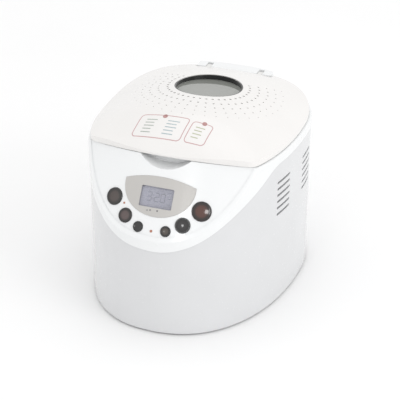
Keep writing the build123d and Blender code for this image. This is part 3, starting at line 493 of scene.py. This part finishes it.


# ---------------------------------------------------------------- control panel details

# Each button: place across and up the panel and radius in mm, colour of its middle, lightened by a painted
# reflection, and of its rim, darkened by painted shade
BUTTONS = {
    "menu_button": (-66.0, 46.2, 12.5, (0.062, 0.045, 0.04), (0.012, 0.010, 0.009)),
    "weight_button": (-43.5, 24.5, 10.5, (0.095, 0.066, 0.063), (0.011, 0.008, 0.008)),
    "timer_down_button": (-20.8, 13.3, 7.5, (0.016, 0.015, 0.015), (0.008, 0.008, 0.008)),
    "timer_up_button": (20.8, 13.3, 7.5, (0.07, 0.055, 0.045), (0.008, 0.006, 0.006)),
    "crust_button": (43.5, 24.5, 11.0, (0.02, 0.018, 0.018), (0.007, 0.007, 0.007)),
    "start_button": (66.0, 46.2, 14.0, (0.088, 0.03, 0.02), (0.012, 0.007, 0.006)),
}
BUTTON_PROUD = 1.6 * MM
BUTTON_DISH = 0.9 * MM
BUTTON_ROUND = 1.1 * MM
BUTTON_SIDES = 64
BOWL_STEPS = 8


def button_profile(radius):
    """Half section of a cap: (distance from the axis, height over the panel face)."""
    rim = radius - BUTTON_ROUND
    bowl = []
    for step in range(1, BOWL_STEPS + 1):
        part = step / BOWL_STEPS
        bowl.append((rim * part, BUTTON_PROUD - BUTTON_DISH * (1.0 - part ** 2)))
    corner = []
    for step in range(1, 7):
        angle = math.radians(90 - 15 * step)
        drop = BUTTON_ROUND * (1.0 - math.sin(angle))
        corner.append((rim + BUTTON_ROUND * math.cos(angle), BUTTON_PROUD - drop))
    flange = radius + 1.1 * MM
    skirt = [(radius, -2.0 * MM), (radius, -4.2 * MM), (flange, -4.2 * MM), (flange, -5.2 * MM)]
    stem = [(2.2 * MM, -5.2 * MM), (2.2 * MM, -12.6 * MM)]
    return bowl + corner + skirt + stem


def turned_mesh(top, axis, across, base, profile):
    """A closed solid of revolution, from its top vertex down the profile."""
    up = axis.cross(across)
    mesh = bmesh.new()
    peak = mesh.verts.new(top)
    rings = []
    for distance, height in profile:
        ring = []
        for i in range(BUTTON_SIDES):
            angle = 2 * math.pi * i / BUTTON_SIDES
            spoke = across * math.cos(angle) + up * math.sin(angle)
            ring.append(mesh.verts.new(base + axis * height + spoke * distance))
        rings.append(ring)
    steps = [(i, (i + 1) % BUTTON_SIDES) for i in range(BUTTON_SIDES)]
    for i, j in steps:
        mesh.faces.new((peak, rings[0][i], rings[0][j]))
    for inner, outer in zip(rings, rings[1:]):
        for i, j in steps:
            mesh.faces.new((inner[i], outer[i], outer[j], inner[j]))
    mesh.faces.new(rings[-1])
    bmesh.ops.recalc_face_normals(mesh, faces=mesh.faces)
    return mesh


def make_button_cap(node, x, v, radius, middle_with_painted_reflection, rim):
    """A turned cap with a shallow finger dish, which stands for the plain CAD button."""
    u, v, radius = x * MM, v * MM, radius * MM
    axis = panel_normal(u)
    across = Vector((1.0, u / PANEL_BOW, 0.0)).normalized()
    base = panel_point(u, v)
    top = base + axis * (BUTTON_PROUD - BUTTON_DISH)
    mesh = turned_mesh(top, axis, across, base, button_profile(radius))
    # The cap colour carries a painted reflection in its middle and painted shade at its rim
    material = button_gloss_painted_reflection(node + "_gloss", base, middle_with_painted_reflection, rim, radius)
    name = node.replace("_button", "")
    piece = finish_piece(name + "_cap", mesh, material, name + "_key", smooth=True)
    piece.data.set_sharp_from_angle(angle=math.radians(50))
    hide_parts(node)


SEGMENTS = {
    "a": ((0, 1), (1, 1)), "b": ((1, 1), (1, 0.5)), "c": ((1, 0.5), (1, 0)), "d": ((0, 0), (1, 0)),
    "e": ((0, 0), (0, 0.5)), "f": ((0, 0.5), (0, 1)), "g": ((0, 0.5), (1, 0.5)),
}
DIGITS = {"3": "abcdg", "2": "abdeg", "0": "abcdef"}
DIGIT_WIDTH = 6.5 * MM
DIGIT_HEIGHT = 12.0 * MM
DIGIT_PITCH = 9.5 * MM
DIGIT_LOW = 53.0 * MM


def digit_faces(text, left):
    """Seven-segment digits as short bars."""
    faces = []
    for place, digit in enumerate(text):
        for segment in DIGITS[digit]:
            ends = []
            for a, b in SEGMENTS[segment]:
                x = left + place * DIGIT_PITCH + a * DIGIT_WIDTH
                ends.append(Vector((x, DIGIT_LOW + b * DIGIT_HEIGHT)))
            inset = (ends[1] - ends[0]).normalized() * 0.6 * MM
            faces += stroke_faces(line(ends[0] + inset, ends[1] - inset), PRINT_BAR)
    return faces


def make_screen_contents():
    """A generic time in seven-segment digits, and three pale bars beside it."""
    host = panel_host("lcd_module")
    dark = ink("segment_grey", (0.07, 0.07, 0.10))
    faint = ink("segment_pale", (0.13, 0.13, 0.18))
    digits = digit_faces("3", -17 * MM) + digit_faces("20", -6 * MM)
    for colon_height in (56.5 * MM, 61.5 * MM):
        digits += disc_faces((-8.2 * MM, colon_height), 0.7 * MM, 16)
    printed("screen_digits", digits, host, dark, "body")
    marks = []
    for row in range(3):
        y = (50.5 + row * 8.5) * MM
        marks += stroke_faces(line((13 * MM, y), (19 * MM, y)), PRINT_BAR)
    printed("screen_marks", marks, host, faint, "body")


def make_bezel_marks():
    """Three small round marks under the screen, for the light, medium and dark crust."""
    host = panel_host("display_bezel")
    shades = (("light", -11.6, 38.7, 0.30), ("medium", -7.1, 39.6, 0.22), ("dark", 3.5, 40.0, 0.14))
    for name, x, v, tone in shades:
        faces = disc_faces((x * MM, v * MM), 1.25 * MM, 20)
        grey = ink(name + "_crust_ink", (tone, tone, tone))
        printed(name + "_crust_mark", faces, host, grey, "body")


# ---------------------------------------------------------------- lid prints


# How much shorter each bar of a column is than the column is wide, in mm
BAR_TRIMS = (0.0, 2.6, 1.0, 3.4, 1.8)


def programme_frame(name, low, high, lean, dot, rows, columns, tones):
    """A rounded frame round columns of short bars, with a dot on its upper edge."""
    host = lid_host()
    outline = rounded_frame(low, high, 5.0 * MM, lean)
    red = ink(name + "_frame_ink", (0.56, 0.36, 0.36))
    printed(name + "_frame", stroke_faces(outline, 1.2 * MM, closed=True), host, red, "lid")
    dark_red = ink(name + "_dot_ink", (0.46, 0.25, 0.24))
    printed(name + "_dot", disc_faces(dot, 3.6 * MM), host, dark_red, "lid")
    for column, ((start, end), tone) in enumerate(zip(columns, tones)):
        bars = []
        for row, part in enumerate(rows):
            y = high[1] - part * (high[1] - low[1])
            shift = lean * (y - low[1]) / (high[1] - low[1])
            trim = BAR_TRIMS[row] * MM
            bars += stroke_faces(line((start + shift, y), (end + shift - trim, y)), 1.5 * MM)
        bar_ink = ink(f"{name}_bar_ink_{column}", tone)
        printed(f"{name}_bars_{column}", bars, host, bar_ink, "lid")


def make_lid_prints():
    """The two framed charts on the front of the lid."""
    programme_frame(
        "programme", low=(-60 * MM, -105 * MM), high=(13 * MM, -67 * MM), lean=4 * MM,
        dot=(-21 * MM, -68.5 * MM), rows=(0.24, 0.38, 0.52, 0.66, 0.80),
        columns=((-49 * MM, -33 * MM), (-17 * MM, 1 * MM)),
        tones=((0.42, 0.46, 0.42), (0.42, 0.50, 0.52)))
    programme_frame(
        "size", low=(19 * MM, -104 * MM), high=(49 * MM, -69 * MM), lean=4 * MM,
        dot=(39 * MM, -69 * MM), rows=(0.26, 0.42, 0.58, 0.74),
        columns=((26 * MM, 40 * MM),), tones=((0.48, 0.50, 0.36),))


# ---------------------------------------------------------------- setting


def make_floor():
    mesh = bmesh.new()
    bmesh.ops.create_grid(mesh, x_segments=8, y_segments=8, size=6.0)
    data = bpy.data.meshes.new("floor")
    mesh.to_mesh(data)
    mesh.free()
    data.materials.append(surface("floor_white", (0.93, 0.93, 0.93), 0.7, vary=0.01, patch=2.0))
    floor = bpy.data.objects.new("floor", data)
    bpy.context.scene.collection.objects.link(floor)


def add_light(name, place, size, power, target=(0.0, 0.0, 0.15)):
    data = bpy.data.lights.new(name, "AREA")
    data.shape = "RECTANGLE"
    data.size, data.size_y = size
    data.energy = power
    light = bpy.data.objects.new(name, data)
    light.location = place
    light.rotation_euler = (Vector(target) - Vector(place)).to_track_quat("-Z", "Y").to_euler()
    bpy.context.scene.collection.objects.link(light)


def make_lights():
    world = bpy.data.worlds.new("studio")
    world.use_nodes = True
    background = world.node_tree.nodes["Background"]
    background.inputs["Color"].default_value = (1.0, 1.0, 1.0, 1.0)
    background.inputs["Strength"].default_value = 0.98
    bpy.context.scene.world = world
    add_light("key", (2.4, -0.9, 1.5), (1.5, 1.5), 14.0)
    add_light("fill", (-2.2, -1.2, 1.6), (1.8, 1.8), 0.5)
    add_light("top", (0.0, 0.6, 2.6), (2.0, 2.0), 4.0)
    add_light("glint", (-0.08, -2.15, 1.54), (0.24, 0.24), 1.5, (0.0, -0.17, 0.18))


def make_camera():
    data = bpy.data.cameras.new("camera")
    data.sensor_width = CAMERA_SENSOR
    data.lens = CAMERA_LENS
    camera = bpy.data.objects.new("camera", data)
    back = (CAMERA_EYE - CAMERA_TARGET).normalized()
    right = Vector((0.0, 0.0, 1.0)).cross(back).normalized()
    rotation = Matrix((right, back.cross(right), back)).transposed()
    camera.matrix_world = Matrix.Translation(CAMERA_EYE) @ rotation.to_4x4()
    bpy.context.scene.collection.objects.link(camera)
    bpy.context.scene.camera = camera


dress_nodes()
for button, numbers in BUTTONS.items():
    make_button_cap(button, *numbers)
make_screen_contents()
make_bezel_marks()
make_lid_prints()
make_floor()
make_lights()
make_camera()
bpy.context.scene.view_settings.view_transform = "Standard"
